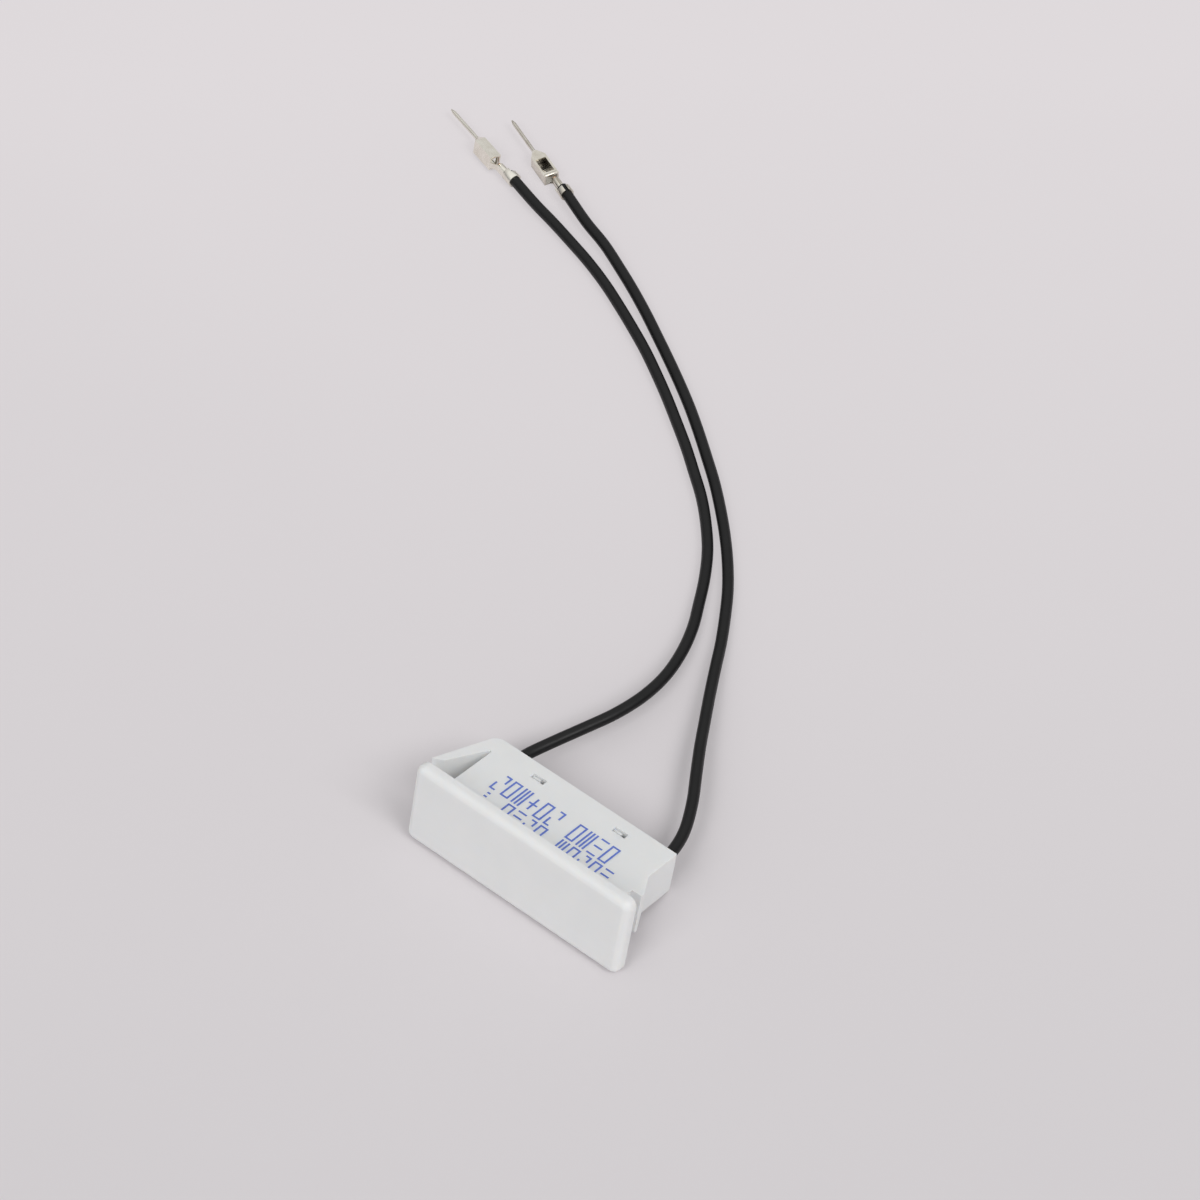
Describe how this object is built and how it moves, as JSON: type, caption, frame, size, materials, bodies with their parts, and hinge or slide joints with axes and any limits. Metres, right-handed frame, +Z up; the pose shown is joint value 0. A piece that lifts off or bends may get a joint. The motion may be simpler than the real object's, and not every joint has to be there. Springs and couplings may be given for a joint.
{
  "type": "reed switch",
  "caption": "Snap-in reed switch: white plastic housing with a flange, a sprung latch arm and a fixed barb, on insulated wires that end in crimped pin contacts.",
  "frame": {"origin": "middle of the housing's bounding box on the floor, wires and contacts left out", "axes": "+X along the flange towards the barb's end, +Y to the rear where the wires leave, +Z up from the floor; the housing leans back as it rests"},
  "size_m": [0.1273, 0.118, 0.0135],
  "materials": {
    "white_plastic": "satin moulded thermoplastic",
    "glass": "clear, faintly green",
    "reed_metal": "plated nickel-iron",
    "solder": "bright tin alloy",
    "sleeve": "satin shrink tubing",
    "conductor": "tinned copper strands",
    "insulation": "satin black cable sheath",
    "tin_plate": "satin tin plating on sheet metal",
    "ink": "blue printing ink"
  },
  "bodies": {
    "case": {"housing": "white_plastic", "rear_cover": "white_plastic", "glass_tube": "glass", "left_reed_lead": "reed_metal", "right_reed_lead": "reed_metal", "left_solder_joint": "solder", "right_solder_joint": "solder", "left_shrink_sleeve": "sleeve", "right_shrink_sleeve": "sleeve", "left_splice_strands": "conductor", "right_splice_strands": "conductor", "left_wire": "insulation", "right_wire": "insulation", "left_crimp_strands": "conductor", "right_crimp_strands": "conductor", "left_pin_contact": "tin_plate", "right_pin_contact": "tin_plate", "rear_print_row": "ink", "front_print_row": "ink"},
    "left_reed": {"left_reed_blade": "reed_metal"},
    "right_reed": {"right_reed_blade": "reed_metal"}
  },
  "joints": [
    {"name": "left_reed_flex", "type": "hinge", "parent": "case", "child": "left_reed", "pos_m": [-0.00404, -0.00365, 0.0071], "axis": [0, -0.2187, -0.9758], "range_deg": [0, 1.15], "stiffness_Nm_per_rad": 0.000005},
    {"name": "right_reed_flex", "type": "hinge", "parent": "case", "child": "right_reed", "pos_m": [0.00536, -0.00404, 0.00719], "axis": [0, -0.2187, -0.9758], "range_deg": [0, 1.15], "stiffness_Nm_per_rad": 0.000005}
  ],
  "couplings": [
    {"joint": "right_reed_flex", "follows": "left_reed_flex", "ratio": 1}
  ]
}
